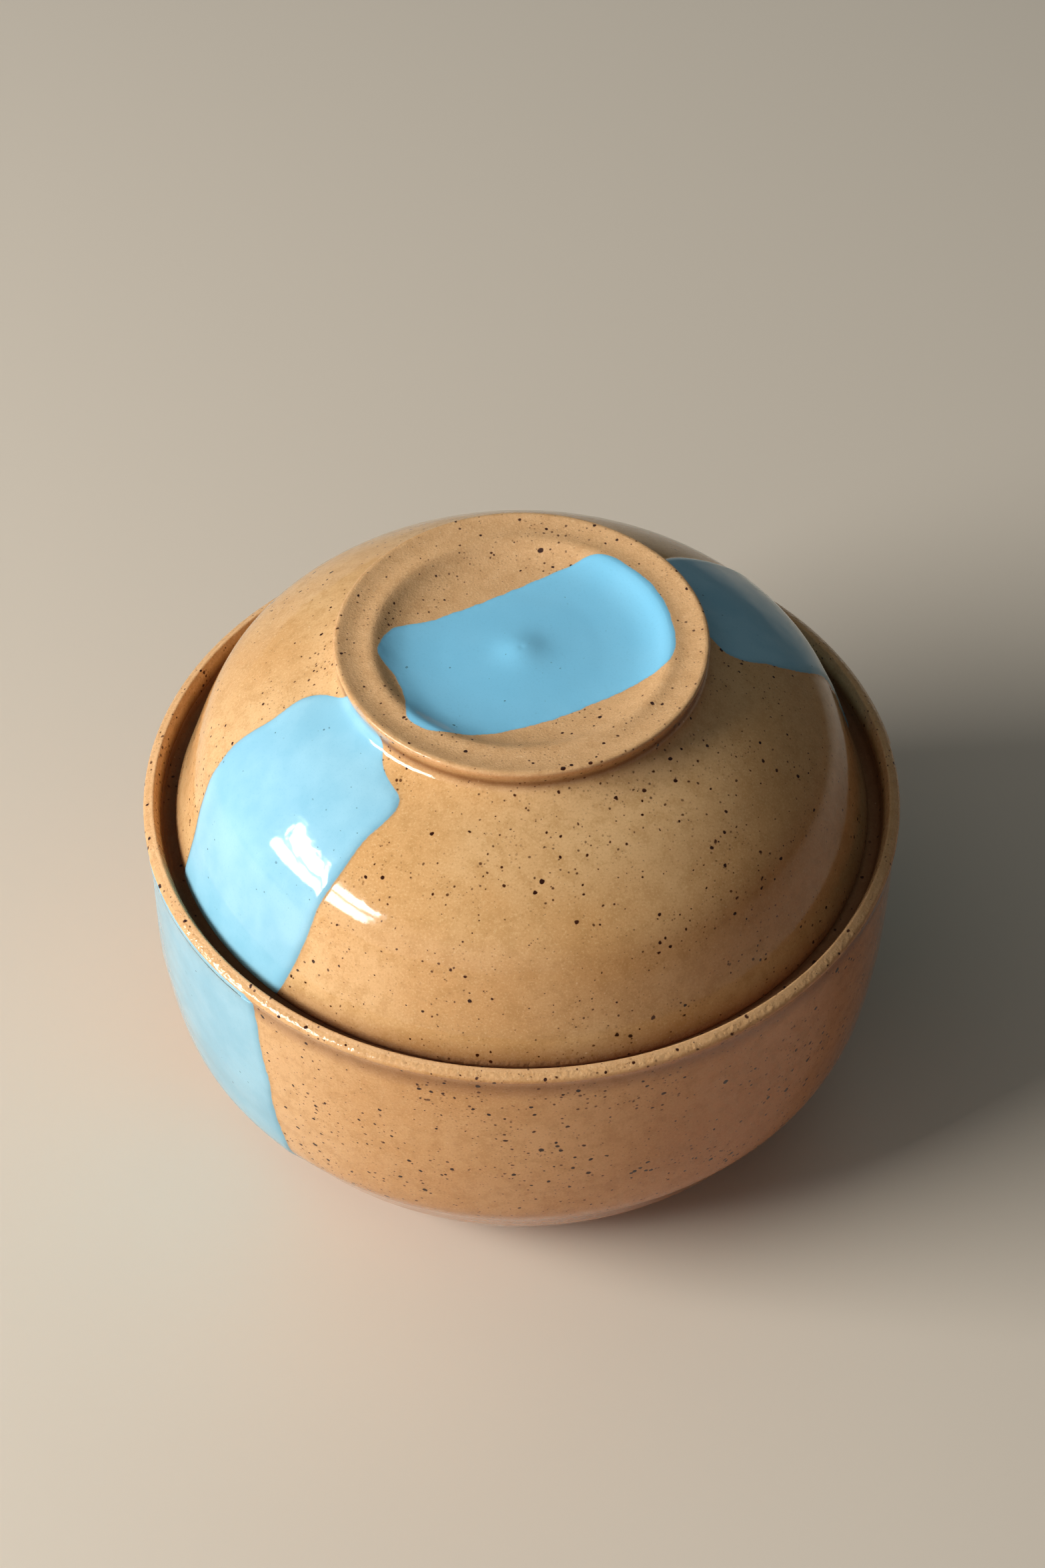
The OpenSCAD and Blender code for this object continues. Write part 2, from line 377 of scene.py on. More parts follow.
# Relief on the profile: throwing rings, the blue glaze's thickness and a spiral on the floor. Nothing
# comes out past the rim.
bowl_ring_h, spiral_h, spiral_pitch = 0.022, 0.16, 2.1
bowl_lift = thrown(bowl_run, angle, bowl_ring_h) * fade_in(-bowl_bare, 0, 2)
bowl_lift += rolled_edge(bowl_blue, bowl_blue_t, blue_edge_w) * fade_in(-bowl_bare, 0, 0.8) * outside
on_floor = fade_in(radius, seat_in_r - 20, seat_in_r - 30) * (row >= bowl_rows["floor"].start)
bowl_lift += spiral_h * np.sin(radius / spiral_pitch - angle) * on_floor * fade_in(radius, 0, 6)
room = (rim_r - radius) / np.maximum(normal[:, 0], 0.05)
bowl_lift = np.where(normal[:, 0] > 0.05, np.minimum(bowl_lift, room), bowl_lift)
bowl_lift[bowl_columns[row] == 1] = 0

# Painted shade, amber: in the gap round the lid, where the seat lies in shadow, and a band under the lip,
# whose underside faces down.
gap_start, gap_end = run[[bowl_rows["seat_wall"].start, bowl_rows["seat"].stop - 1]]
shade_in_gap = fade_in(bowl_run, gap_start, gap_start + 2.5) * fade_in(bowl_run, gap_end + 1, gap_end - 6)
shade_under_lip = fade_in(down, 1, 2.2) * fade_in(down, 7, 3) * outside
pooled = np.maximum(0.8 * shade_in_gap, 0.5 * shade_under_lip)

bowl = turned_mesh("bowl_stoneware", bowl_line, bowl_columns, bowl_lift,
                   blue=bowl_blue, bare=bowl_bare, thin=np.zeros(len(row)), pooled=pooled)


def colour(red, green, blue):
    """A screen colour from 0 to 255 as the linear colour that a shader takes."""
    screen = np.array([red, green, blue]) / 255
    linear = np.where(screen <= 0.04045, screen / 12.92, ((screen + 0.055) / 1.055) ** 2.4)
    return (*linear, 1)


def node(tree, kind, inputs=None, **settings):
    """Adds a node to a tree. settings are its own properties; inputs fills its sockets by name or
    number, with a value or with another node's output."""
    made = tree.nodes.new(kind)
    for key, value in settings.items():
        setattr(made, key, value)
    for key, value in (inputs or {}).items():
        if isinstance(value, bpy.types.NodeSocket):
            tree.links.new(value, made.inputs[key])
        else:
            made.inputs[key].default_value = value
    return made


def sum_of(tree, operation, *values, clamp=False):
    """One Math node's result."""
    return node(tree, "ShaderNodeMath", dict(enumerate(values)), operation=operation,
                use_clamp=clamp).outputs[0]


def vector_sum(tree, operation, *values):
    """One Vector Math node's result."""
    return node(tree, "ShaderNodeVectorMath", dict(enumerate(values)), operation=operation).outputs[0]


def ramp(tree, value, low, high, to_low=0.0, to_high=1.0):
    """value from low to high, carried smoothly to the range from to_low to to_high."""
    return node(tree, "ShaderNodeMapRange", {0: value, 1: low, 2: high, 3: to_low, 4: to_high},
                interpolation_type="SMOOTHSTEP").outputs[0]


def mixed(tree, share, a, b, blend="MIX"):
    """Colour a turned into colour b by share."""
    return node(tree, "ShaderNodeMix", {0: share, 6: a, 7: b}, data_type="RGBA",
                blend_type=blend).outputs[2]


def noise(tree, vector, size, detail=2.0, rough=0.5):
    """Noise from 0 to 1 whose grains are about size millimetres across."""
    return node(tree, "ShaderNodeTexNoise", {"Vector": vector, "Scale": 0.7 / (size * MM), "Detail": detail,
                                             "Roughness": rough}).outputs[0]


def new_group(name, inputs, outputs):
    """An empty node group with these float inputs (and Vector), and float outputs."""
    group = bpy.data.node_groups.new(name, "ShaderNodeTree")
    group.interface.new_socket("Vector", in_out="INPUT", socket_type="NodeSocketVector")
    for socket, value in inputs.items():
        made = group.interface.new_socket(socket, in_out="INPUT", socket_type="NodeSocketFloat")
        made.default_value = value
    for socket in outputs:
        group.interface.new_socket(socket, in_out="OUTPUT", socket_type="NodeSocketFloat")
    return group, group.nodes.new("NodeGroupInput"), group.nodes.new("NodeGroupOutput")


def speck_group():
    """Grains cut by the surface: each cell has one round grain at its centre, whose radius is 0.4 to 1
    of the greatest by chance and 0.75 to 1.2 of that by slow noise, so that grains gather in drifts, and
    pulled a little out of round by fine noise. The mask rises from 0 at the grain's rim to its
    strength, which also varies, over Edge millimetres."""
    group, given, out = new_group("iron_specks", {"Spacing": 4.0, "Radius": 0.4, "Edge": 0.15}, ["Mask"])
    place, spacing, radius = (given.outputs[socket] for socket in ("Vector", "Spacing", "Radius"))
    pull = node(group, "ShaderNodeTexNoise", {"Vector": place, "Scale": 800.0, "Detail": 1.0})
    centred = vector_sum(group, "SUBTRACT", pull.outputs["Color"], (0.5, 0.5, 0.5))
    moved = node(group, "ShaderNodeVectorMath", {
        0: centred, "Scale": sum_of(group, "MULTIPLY", radius, 1.3 * MM)}, operation="SCALE").outputs[0]
    pulled = vector_sum(group, "ADD", place, moved)
    cells = node(group, "ShaderNodeTexVoronoi", {
        "Vector": pulled, "Scale": sum_of(group, "DIVIDE", 1 / MM, spacing)})
    chance = node(group, "ShaderNodeSeparateColor", {0: cells.outputs["Color"]})
    reach = sum_of(group, "MULTIPLY", sum_of(group, "MULTIPLY_ADD", chance.outputs[0], 0.6, 0.4), radius)
    drifts = ramp(group, noise(group, place, 11, 1), 0.35, 0.62, 0.75, 1.2)
    reach = sum_of(group, "MULTIPLY", reach, drifts)
    away = sum_of(group, "MULTIPLY", cells.outputs["Distance"], spacing)
    inward = sum_of(group, "SUBTRACT", reach, away)
    inside = sum_of(group, "DIVIDE", inward, given.outputs["Edge"], clamp=True)
    strength = sum_of(group, "MULTIPLY_ADD", chance.outputs[1], 0.5, 0.5)
    group.links.new(sum_of(group, "MULTIPLY", inside, strength), out.inputs["Mask"])
    return group


def turning_group():
    """Fine lines left by turning: noise of radius and height alone, so it runs level round the piece."""
    group, given, out = new_group("turning_lines", {"Width": 1.5}, ["Lines"])
    x, y, z = node(group, "ShaderNodeSeparateXYZ", {0: given.outputs["Vector"]}).outputs
    squares = sum_of(group, "ADD", sum_of(group, "MULTIPLY", x, x), sum_of(group, "MULTIPLY", y, y))
    level = node(group, "ShaderNodeCombineXYZ", {
        0: sum_of(group, "SQRT", squares), 1: z, 2: sum_of(group, "MULTIPLY", x, 0.02)}).outputs[0]
    lines = node(group, "ShaderNodeTexNoise", {
        "Vector": level, "Detail": 3.0, "Scale": sum_of(group, "DIVIDE", 0.7 / MM, given.outputs["Width"])})
    group.links.new(lines.outputs[0], out.inputs["Lines"])
    return group


speck_nodes, turning_nodes = speck_group(), turning_group()


def grouped(tree, group, vector, output, **values):
    """One output of a node group placed in a material with its own values."""
    return node(tree, "ShaderNodeGroup", {"Vector": vector, **values}, node_tree=group).outputs[output]


# Colours of the clay under clear glaze, of the bare clay, of the iron in both, and of the blue glaze, with
# an amber and a deeper blue of painted shade.
CLAY_DEEP, CLAY_PALE, CLAY_MOTTLE = colour(211, 161, 103), colour(225, 181, 126), colour(190, 142, 83)
CLAY_DARK_GRAIN, CLAY_PALE_GRAIN = colour(184, 136, 78), colour(236, 200, 146)
BARE_PALE, BARE_DEEP = colour(222, 174, 121), colour(211, 162, 109)
BARE_DARK_GRAIN, BARE_PALE_GRAIN = colour(180, 134, 84), colour(238, 204, 154)
PAINTED_SHADE_AMBER, PALE_FLECK, FRECKLE = colour(130, 86, 48), colour(244, 218, 174), colour(126, 80, 40)
SMALL_SPECK, SPECK_EDGE, SPECK_HEART = colour(84, 43, 20), colour(104, 56, 27), colour(48, 20, 8)
BLUE_DEEP, BLUE_PALE, BLUE_POOLED = colour(138, 195, 216), colour(155, 207, 225), colour(128, 205, 237)
BLUE_GRAIN, BLUE_EDGE_SHADE, BLUE_OVER_IRON = colour(112, 178, 204), colour(104, 170, 196), colour(44, 84, 98)


def grained(tree, tone, grain, dark, pale, pale_share, pale_end):
    """A clay's tone with dark grains where the fine noise is low and pale ones where it is high."""
    tone = mixed(tree, ramp(tree, grain, 0.3, 0.48, 0.36, 0.0), tone, dark)
    return mixed(tree, ramp(tree, grain, 0.52, pale_end, 0.0, pale_share), tone, pale)


def glazed_stoneware(name, smear, iron):
    """Speckled buff clay under clear glaze, blue glaze where the attribute blue is above 0, and matt
    clay where bare is above 0. smear is how the specks' places are scaled: throwing drew them out
    level on the wall. iron scales their radius."""
    material = bpy.data.materials.new(name)
    material.use_nodes = True
    tree = material.node_tree
    shader = tree.nodes["Principled BSDF"]
    place = node(tree, "ShaderNodeTexCoord").outputs["Object"]
    smeared = node(tree, "ShaderNodeMapping", {"Vector": place, "Scale": smear}).outputs[0]
    blue_depth, bare_depth, thin, pooled = (
        node(tree, "ShaderNodeAttribute", attribute_name=mark).outputs["Fac"]
        for mark in ("blue", "bare", "thin", "pooled"))
    rough_edge = sum_of(tree, "MULTIPLY_ADD", noise(tree, place, 0.5, 3), 0.5, -0.25)
    blue = ramp(tree, sum_of(tree, "MULTIPLY_ADD", rough_edge, 0.5, blue_depth), -0.1, 0.16)
    bare_inside = sum_of(tree, "ADD", bare_depth, rough_edge)
    bare = ramp(tree, bare_inside, -0.12, 0.12)
    glazed_share = sum_of(tree, "SUBTRACT", 1.0, bare)

    # clay: slow drifts of tone, fine grain, pale and dark grains; as pale as bare clay where the glaze
    # thins towards its edge; amber painted shade in the gap, under the lip, in the neck and low on the dome
    drift = noise(tree, place, 26, 3, 0.55)
    mottle = noise(tree, place, 2.4, 4, 0.6)
    grain = noise(tree, place, 0.34, 3, 0.65)
    clay = mixed(tree, ramp(tree, drift, 0.3, 0.7), CLAY_DEEP, CLAY_PALE)
    clay = mixed(tree, ramp(tree, mottle, 0.44, 0.66, 0.0, 0.4), clay, CLAY_MOTTLE)
    clay = grained(tree, clay, grain, CLAY_DARK_GRAIN, CLAY_PALE_GRAIN, 0.4, 0.7)
    bare_clay = mixed(tree, ramp(tree, mottle, 0.35, 0.7), BARE_PALE, BARE_DEEP)
    bare_clay = grained(tree, bare_clay, grain, BARE_DARK_GRAIN, BARE_PALE_GRAIN, 0.46, 0.72)
    clay = mixed(tree, ramp(tree, bare_inside, -1.9, -1.1), clay, bare_clay)
    clay = mixed(tree, pooled, clay, PAINTED_SHADE_AMBER, "MULTIPLY")

    # iron: faint freckles in drifts, small brown specks, then two sizes that are almost black inside
    freckles = grouped(tree, speck_nodes, smeared, "Mask", Spacing=1.0, Radius=0.28, Edge=0.15)
    small = grouped(tree, speck_nodes, smeared, "Mask", Spacing=1.7, Radius=0.34 * iron, Edge=0.2)
    middle = grouped(tree, speck_nodes, smeared, "Mask", Spacing=2.9, Radius=0.46 * iron, Edge=0.22)
    large = grouped(tree, speck_nodes, smeared, "Mask", Spacing=4.7, Radius=0.58 * iron, Edge=0.24)
    pale = grouped(tree, speck_nodes, place, "Mask", Spacing=2.9, Radius=0.24, Edge=0.12)
    specks = sum_of(tree, "MAXIMUM", large, middle)
    drifts = ramp(tree, noise(tree, place, 9, 2), 0.38, 0.62, 0.25, 0.75)
    clay = mixed(tree, sum_of(tree, "MULTIPLY", pale, 0.5), clay, PALE_FLECK)
    clay = mixed(tree, sum_of(tree, "MULTIPLY", freckles, drifts), clay, FRECKLE)
    clay = mixed(tree, ramp(tree, small, 0.0, 0.7, 0.0, 0.9), clay, SMALL_SPECK)
    clay = mixed(tree, ramp(tree, specks, 0.0, 0.5), clay, SPECK_EDGE)
    clay = mixed(tree, ramp(tree, specks, 0.2, 0.75), clay, SPECK_HEART)

    # blue glaze: deeper where it stands thick in the dish (thin below 0), see-through where it drew thin
    # (thin above 0)
    cloud = noise(tree, place, 9, 3, 0.55)
    glaze = mixed(tree, ramp(tree, cloud, 0.3, 0.72), BLUE_DEEP, BLUE_PALE)
    glaze = mixed(tree, ramp(tree, thin, -1.0, 0.0, 0.8, 0.0), glaze, BLUE_POOLED)
    glaze = mixed(tree, ramp(tree, grain, 0.5, 0.8, 0.0, 0.3), glaze, BLUE_GRAIN)
    # painted shade: a darker blue line all along the glaze's rolled edge
    glaze = mixed(tree, ramp(tree, blue_depth, 0.0, 0.7, 0.35, 0.0), glaze, BLUE_EDGE_SHADE)
    iron_below = ramp(tree, sum_of(tree, "MAXIMUM", large, small), 0.72, 1.0)
    glaze = mixed(tree, sum_of(tree, "MULTIPLY", iron_below, 0.75), glaze, BLUE_OVER_IRON)
    cover = sum_of(tree, "MULTIPLY", blue, ramp(tree, thin, 0.0, 1.0, 1.0, 0.25))
    tree.links.new(mixed(tree, cover, clay, glaze), shader.inputs["Base Color"])

    # gloss under glaze, matt on bare clay
    gloss = sum_of(tree, "MULTIPLY_ADD", noise(tree, place, 14, 2), 0.05, 0.055)
    dry = sum_of(tree, "MULTIPLY_ADD", grain, 0.15, 0.66)
    glossy_part = sum_of(tree, "MULTIPLY", gloss, glazed_share)
    roughness = sum_of(tree, "ADD", glossy_part, sum_of(tree, "MULTIPLY", dry, bare))
    tree.links.new(roughness, shader.inputs["Roughness"])
    shader.inputs["IOR"].default_value = 1.46

    # relief in millimetres under glaze: slow waves, ripples, and a broken surface near its edge, less
    # so where it stands thick in the dish or drew thin
    wave_h, ripple_h, glaze_step = 0.04, 0.07, 0.02
    waves = sum_of(tree, "MULTIPLY", noise(tree, place, 7, 1), wave_h)
    ripples = sum_of(tree, "MULTIPLY_ADD", noise(tree, place, 3.2, 2), ripple_h, waves)
    near_edge = ramp(tree, sum_of(tree, "ABSOLUTE", bare_depth), 0.8, 2.4, 0.3, 0.0)
    full_coat = sum_of(tree, "MULTIPLY", ramp(tree, thin, -1.0, 0.0, 0.1, 1.0),
                       ramp(tree, thin, 0.0, 0.5, 1.0, 0.3))
    lumps = sum_of(tree, "SUBTRACT", noise(tree, place, 0.9, 2), 0.5)
    broken = sum_of(tree, "MULTIPLY", sum_of(tree, "MULTIPLY", near_edge, full_coat), lumps)
    coat = sum_of(tree, "ADD", sum_of(tree, "ADD", ripples, broken), glaze_step)
    smooth = sum_of(tree, "MULTIPLY", coat, glazed_share)

    # relief in millimetres on bare clay: grit, turning lines and pits at the specks
    grit_h, line_h, pit_h = 0.1, 0.05, -0.06
    lines = grouped(tree, turning_nodes, place, "Lines", Width=0.9)
    turned = sum_of(tree, "MULTIPLY", lines, line_h)
    grit = sum_of(tree, "ADD", sum_of(tree, "MULTIPLY", grain, grit_h), turned)
    pits = sum_of(tree, "MULTIPLY", specks, pit_h)
    matt = sum_of(tree, "MULTIPLY", sum_of(tree, "ADD", grit, pits), bare)
    relief = node(tree, "ShaderNodeBump", {
        "Strength": 1.0, "Distance": MM, "Height": sum_of(tree, "ADD", smooth, matt)}).outputs[0]
    tree.links.new(relief, shader.inputs["Normal"])
    return material


BOWL_SMEAR, BOWL_IRON = (0.96, 0.96, 1.14), 1.16
bowl.data.materials.append(glazed_stoneware("bowl_glazed_stoneware", BOWL_SMEAR, BOWL_IRON))
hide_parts("bowl")
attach(bowl, "bowl")

# Lid: a thrown dome of the same clay. The foot ring turned into its top is the handle: a narrow neck,
# a flat ring of bare clay, and a shallow dish with a low mound left by the turning tool.
lid_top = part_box("lid")[1].z / MM
lid_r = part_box("lid")[1].x / MM
lid_wall, lid_rest_w, lid_edge_r, lid_edge_h = 4.6, 4.3, 0.9, 1.6
ring_r, ring_h, neck_in, ring_edge_r = 40.9, 6.2, 1.4, 0.6
channel_depth, dish_depth, dish_r, mound_h, crown_t = 0.95, 4.1, 32.2, 1.25, 5.5
dome_h = lid_top - seat_z - ring_h
dish_floor = lid_top - dish_depth
crown_z = dish_floor - crown_t

# Softened edges, as on the bowl. The ring's curve is cut from a corner a little outside the ring.
dome_ease, top_ease = 1.7, 0.8
ring_round, ring_corner_out, ring_round_rows = 1.6, 0.12, 9
rest_in_round, rest_out_round = 0.5, 0.35

dome_shares = [
    (1, 0.035), (0.979, 0.143), (0.955, 0.264), (0.927, 0.402), (0.906, 0.486), (0.89, 0.549),
    (0.867, 0.6), (0.841, 0.648), (0.805, 0.701), (0.737, 0.793), (0.655, 0.88), (0.578, 0.941)]
neck_shares = [(-1.2, -0.16), (0.3, -0.02), (0.95, 0.16), (0.95, 0.4), (0.5, 0.66), (0.05, 0.84)]
channel_shares = [(0.25, 0.55), (0.6, 1), (0.85, 0.8), (1, 0.82)]
dish_shares = [(0.965, 0.18), (0.9, 0.52), (0.79, 0.83), (0.62, 0.98), (0.42, 1)]
mound_shares = [(0.25, 0.45), (0.12, 0.85), (0, 1)]
crown_shares = [(0.62, 0.75), (0.3, 0.96), (0, 1)]

dome = smooth_line(scaled(dome_shares, (0, seat_z), (lid_r, dome_h)))
neck = smooth_line(scaled(neck_shares, (ring_r, seat_z + dome_h), (-neck_in, ring_h)))
outer = eased(np.vstack([dome, neck]), dome_ease)
neck_start = int(np.argmin(np.hypot(*(outer - neck[0]).T)))
ring_in_r = ring_r - ring_edge_r
ring_corner = (ring_r + ring_corner_out, lid_top)
ring_inward = (ring_in_r - 3, lid_top - 0.5)
channel = scaled(channel_shares, (ring_in_r, lid_top), (dish_r - ring_in_r, -channel_depth))
dish_edge_z = channel[-1][1]
top_line = eased(smooth_line([
    (ring_in_r, lid_top), *channel,
    *scaled(dish_shares, (0, dish_edge_z), (dish_r, dish_floor - dish_edge_z)),
    *scaled(mound_shares, (0, dish_floor), (dish_r, mound_h))]), top_ease)
rest_in_r = lid_r - lid_edge_r - lid_rest_w
lid_inner = inside_of(dome, lid_wall)
lid_inner = lid_inner[lid_inner[:, 0] < rest_in_r][::-1]
inner_top_r, inner_top_z = lid_inner[0]
crown = smooth_line([(inner_top_r, inner_top_z),
                     *scaled(crown_shares, (0, inner_top_z), (inner_top_r, crown_z - inner_top_z))])
rest_in, rest_out = (rest_in_r, seat_z), (lid_r - lid_edge_r, seat_z)
rest_row = (rest_in_r + 2, seat_z)
edge_low = (lid_r - lid_edge_r / 4, seat_z + lid_edge_h / 3)

# The eased lines have a point every 0.2 mm, and these are counts of their points: the neck's line is
# left before the ring's corner and joined after it, and then the dish and the mound begin.
neck_end, ring_from, joined, dish_from, mound_from = -10, -12, 9, 42, -16

lid_line, lid_columns, lid_rows = turned_profile(
    ("crown", spaced(crown[::-1], 16), COARSE),
    ("lid_inner", spaced(lid_inner, 20), COARSE),
    ("rest", np.vstack([
        bend(lid_inner[-1], rest_in, rest_out, rest_in_round, 4), [rest_row],
        bend(rest_in, rest_out, edge_low, rest_out_round, 4)]), MEDIUM),
    ("edge", [edge_low], MEDIUM),
    ("dome", spaced(outer[:neck_start], 40, 0.25), FINE),
    ("neck", spaced(outer[neck_start + 2:neck_end], 13), FINE),
    ("ring_edge", bend(outer[ring_from], ring_corner, ring_inward, ring_round, ring_round_rows), FINE),
    ("ring_top", spaced(top_line[joined:dish_from], 11), MEDIUM),
    ("dish", spaced(top_line[dish_from:mound_from], 40), MEDIUM),
    ("mound", spaced(top_line[mound_from:], 9, 0.2), COARSE))

row, angle, normal = turned_grid(lid_line, lid_columns)
run = length_along(lid_line)
lid_run = run[row]
radius = lid_line[row, 0]
neck_row = lid_rows["neck"].start + int(np.argmin(lid_line[lid_rows["neck"], 0]))
down = run[neck_row] - lid_run
azimuth = degrees_round(angle)
on_dome = (row >= lid_rows["edge"].start) & (row < lid_rows["ring_top"].start)
on_top = row >= lid_rows["ring_edge"].start

# The same stripe on the lid. On the dome an outline is (millimetres down from the neck, degrees round
# from +X), laid flat as on a cone; in the dish it is (x, y) seen from above.
lid_left_blue = [
    (9, -169.5), (5.5, -167), (2.5, -163), (-1, -158), (-3.5, -152), (-3.5, -144), (-0.5, -138.5),
    (3, -135), (5.5, -131.5), (7, -127.5), (8.8, -123.6), (11.5, -122.4), (15, -123.6), (20, -125.6),
    (28, -127), (36, -128), (46, -129), (56, -130.6), (62, -132), (64, -134), (64, -144), (64, -154),
    (64, -161), (62, -163), (52, -164), (43, -166), (35, -167.4), (27, -169), (19, -168.4), (13, -169.6)]
lid_right_blue = [
    (4, 9), (6.5, 5.4), (10, 4), (14, 4.4), (18, 6), (23, 7), (30, 9), (37, 12), (47, 13.6), (57, 15),
    (63, 16), (64, 18), (64, 28), (64, 38), (63, 40), (55, 41.6), (44, 42.6), (33, 44), (22, 46),
    (12, 48), (5, 46), (1, 38), (0, 26), (1, 15)]
dish_blue = [
    (-31, -3), (-30.6, 1), (-28, 5.4), (-24, 7.8), (-18, 10.2), (-11, 14), (-4, 17.8), (4, 22.6),
    (11, 26), (15, 27.4), (19, 27.2), (23, 24), (27, 19.6), (30.4, 14), (32.6, 7), (33.2, 0),
    (32.4, -4.6), (29.6, -8), (25, -10.8), (18.6, -14.6), (12, -18.2), (5, -21.8), (-2.4, -24.6),
    (-9, -26.6), (-14, -27.3), (-18.6, -27.2), (-22, -25.8), (-24.2, -23), (-24.6, -20), (-25.2, -15),
    (-26.8, -9.6), (-29.2, -6.2)]
left_middle, right_middle = -146, 26
lid_blue_t, dish_edge_w, lid_blue_wander = 0.5, 2.4, 0.22


def on_cone(drop, degrees, start=60.0, turn=0.66):
    """Flattens places on the dome: a cone's sector, where the distance from its point is start plus
    the way down, and the angle is turn times the real one."""
    reach, spin = start + drop, np.radians(degrees) * turn
    return np.c_[reach * np.cos(spin), reach * np.sin(spin)]


lid_blue = np.full(len(row), FAR_OUTSIDE)
for outline, middle in ((lid_left_blue, left_middle), (lid_right_blue, right_middle)):
    drop, degrees = np.array(outline).T
    outline = smooth_line(on_cone(drop, degrees - middle), closed=True, steps=5)
    round_from = (azimuth[on_dome] - middle + 180) % 360 - 180
    flat = on_cone(down[on_dome], round_from)
    lid_blue[on_dome] = np.maximum(lid_blue[on_dome], depth_inside(flat, outline))
seen_from_above = (radius[:, None] * np.c_[np.cos(angle), np.sin(angle)])[on_top]
outline = smooth_line(dish_blue, closed=True, steps=5)
lid_blue[on_top] = np.maximum(lid_blue[on_top], depth_inside(seen_from_above, outline))
lid_blue += wavering(angle, down, lid_blue_wander)

# Bare clay: the ring's top and the dish, and the face that rests on the seat. The glaze line on the
# ring is the curve's last row but one.
rest_glaze_lines, lid_bare_wander = (-1.2, -0.6), 0.16
ring_run, rest_run = run[lid_rows["ring_edge"]], run[lid_rows["rest"]]
edge_run = run[lid_rows["edge"].start]
to_ring = lid_run - ring_run[-2]
lid_bare = np.maximum(
    np.where(to_ring < 0, 0.6 * to_ring, to_ring),
    band_between(lid_run, rest_run[0] + rest_glaze_lines[0], edge_run - rest_glaze_lines[1]))
lid_bare += wavering(angle, lid_run, lid_bare_wander)

# The blue glaze drew thin over the ring's edge (1) and stands deep in the dish (-1).
lid_thin = fade_in(down, 0.8, -2.7) * (lid_run < ring_run[-1]) - 1.0 * on_top * (radius < dish_r + 3)

# Relief on the profile: throwing rings, and the blue glaze's thickness.
lid_ring_h, dish_coat = 0.007, 0.32
lid_lift = thrown(lid_run, angle, lid_ring_h) * fade_in(-lid_bare, 0, 2)
coat = np.where(on_top, dish_coat, np.clip((down - 1.5) / 8, 0.1, 1))
edge_w = np.where(on_top, dish_edge_w, blue_edge_w)
lid_lift += rolled_edge(lid_blue, lid_blue_t, edge_w) * coat * fade_in(lid_run, edge_run, edge_run + 2)

# The turning tool left the mound as a soft point on a low rise, with a pit at its centre: three bell
# curves of radius, each (height, reach).
mound_parts = [(1.0, 4.8), (0.3, 9), (-0.12, 0.6)]
mound = sum(part_h * np.exp(-(radius / reach) ** 2) for part_h, reach in mound_parts)
lid_lift += (dish_floor + mound - lid_line[row, 1]) * fade_in(radius, 19, 15) * on_top
lid_lift[0] = 0
lid_bare = np.where(on_top, np.minimum(lid_bare, -lid_blue), lid_bare)

# Painted shade, amber: in the neck under the ring's overhang, and towards the lid's lower edge beside the
# gap.
shade_in_neck = np.exp(-((down + 0.2) / 1.2) ** 2)
shade_low_on_dome = fade_in(lid_run, rest_run[-1] + 7.5, rest_run[-1]) ** 1.3 * on_dome
pooled = 0.75 * shade_in_neck + 0.95 * shade_low_on_dome

LID_SMEAR, LID_IRON = (1, 1, 1.1), 1.06
lid = turned_mesh("lid_stoneware", lid_line, lid_columns, lid_lift,
                  blue=lid_blue, bare=lid_bare, thin=lid_thin, pooled=pooled)
lid.data.materials.append(glazed_stoneware("lid_glazed_stoneware", LID_SMEAR, LID_IRON))
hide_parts("lid")
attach(lid, "lid")

# Studio: a plain pale floor that turns into a backdrop away from the bowl and darkens to the right,
# a wide soft light on the left with two panes that show only in gloss, two weak fills, and a plain
# room that darkens to the right too.
FLOOR_HALF = 9.0

# The floor is seen pale, but the light that it throws up on the bowl is a warm brown.
FLOOR_SEEN, FLOOR_BOUNCE = colour(216, 203, 184), colour(176, 116, 64)
BACKDROP_LEFT, BACKDROP_RIGHT = colour(170, 166, 160), colour(74, 66, 58)
BLACK = (0, 0, 0, 1)
FADE_START, FADE_END = 0.34, 1.2
FLOOR_ROUGHNESS = 0.75


def seen_share(tree):
    """1 for camera, gloss and glass rays, which see the backdrop, and 0 for those that light things."""
    path = node(tree, "ShaderNodeLightPath").outputs
    through = sum_of(tree, "MAXIMUM", path["Is Glossy Ray"], path["Is Transmission Ray"])
    return sum_of(tree, "MAXIMUM", path["Is Camera Ray"], through)


floor_corners = [(x * FLOOR_HALF, y * FLOOR_HALF, 0) for x, y in ((-1, -1), (1, -1), (1, 1), (-1, 1))]
floor_mesh = bpy.data.meshes.new("studio_floor")
floor_mesh.from_pydata(floor_corners, [], [(0, 1, 2, 3)])
floor = bpy.data.objects.new("studio_floor", floor_mesh)
bpy.context.scene.collection.objects.link(floor)
floor_paint = bpy.data.materials.new("studio_floor")
floor_paint.use_nodes = True
paint = floor_paint.node_tree
floor_shader = paint.nodes["Principled BSDF"]
seen = seen_share(paint)
spot = node(paint, "ShaderNodeTexCoord").outputs["Object"]
from_bowl = node(paint, "ShaderNodeVectorMath", {0: spot}, operation="LENGTH").outputs["Value"]
to_right = node(paint, "ShaderNodeSeparateXYZ", {0: spot}).outputs[0]
far = sum_of(paint, "MULTIPLY", seen, ramp(paint, from_bowl, FADE_START, FADE_END))
near_colour = mixed(paint, seen, FLOOR_BOUNCE, FLOOR_SEEN)
far_colour = mixed(paint, ramp(paint, to_right, -0.2, 0.6), BACKDROP_LEFT, BACKDROP_RIGHT)
paint.links.new(mixed(paint, far, near_colour, BLACK), floor_shader.inputs["Base Color"])
paint.links.new(mixed(paint, far, BLACK, far_colour), floor_shader.inputs["Emission Color"])
floor_shader.inputs["Emission Strength"].default_value = 1.0
floor_shader.inputs["Roughness"].default_value = FLOOR_ROUGHNESS
floor_mesh.materials.append(floor_paint)


